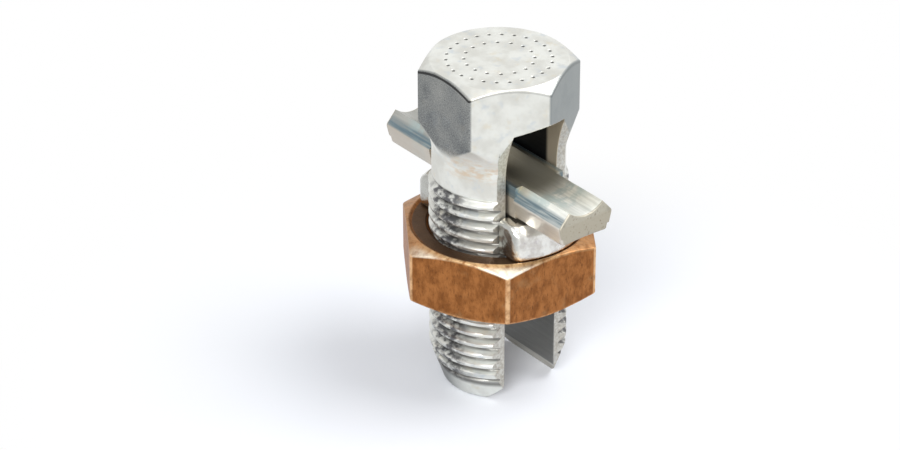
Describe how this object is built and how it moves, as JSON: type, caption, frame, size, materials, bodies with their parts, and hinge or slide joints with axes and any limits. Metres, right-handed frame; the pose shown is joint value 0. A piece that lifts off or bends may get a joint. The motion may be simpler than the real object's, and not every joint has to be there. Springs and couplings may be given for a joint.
{
  "type": "split bolt connector",
  "caption": "Hex-headed bolt slotted from its leg ends into the head, with a channelled spacer bar, a winged pressure bar and a bronze nut that clamp bare conductors laid across the slot.",
  "frame": {"origin": "on the bolt's axis, at the level of the two leg ends", "axes": "+Z along the bolt's axis from the leg ends to the head; +X along the slot, the way the conductors and the spacer bar lie"},
  "size_m": [0.0349, 0.0268, 0.0449],
  "materials": {
    "tinned_bolt": "dull tin plate, worn to copper alloy under the head",
    "tinned_spacer": "dull tin plate over a drawn bar, ends sheared",
    "tinned_bar": "bright tin plate",
    "bronze_nut": "bare silicon bronze, copper brown, rubbed bright on its edges"
  },
  "bodies": {
    "bolt": {"bolt": "tinned_bolt"},
    "clamp": {"pressure_bar": "tinned_bar", "spacer_bar": "tinned_spacer"},
    "nut": {"nut": "bronze_nut"}
  },
  "joints": [
    {"name": "pressure_bar_slide", "type": "slide", "parent": "bolt", "child": "clamp", "axis": [0, 0, 1], "range_m": [-0.0141, 0.0051]},
    {"name": "nut_turn", "type": "hinge", "parent": "clamp", "child": "nut", "pos_m": [0, 0, 0.0182], "axis": [0, 0, 1], "range_deg": [-3321, 1201]}
  ],
  "couplings": [
    {"joint": "pressure_bar_slide", "follows": "nut_turn", "m_per_rad": 0.00024319}
  ]
}
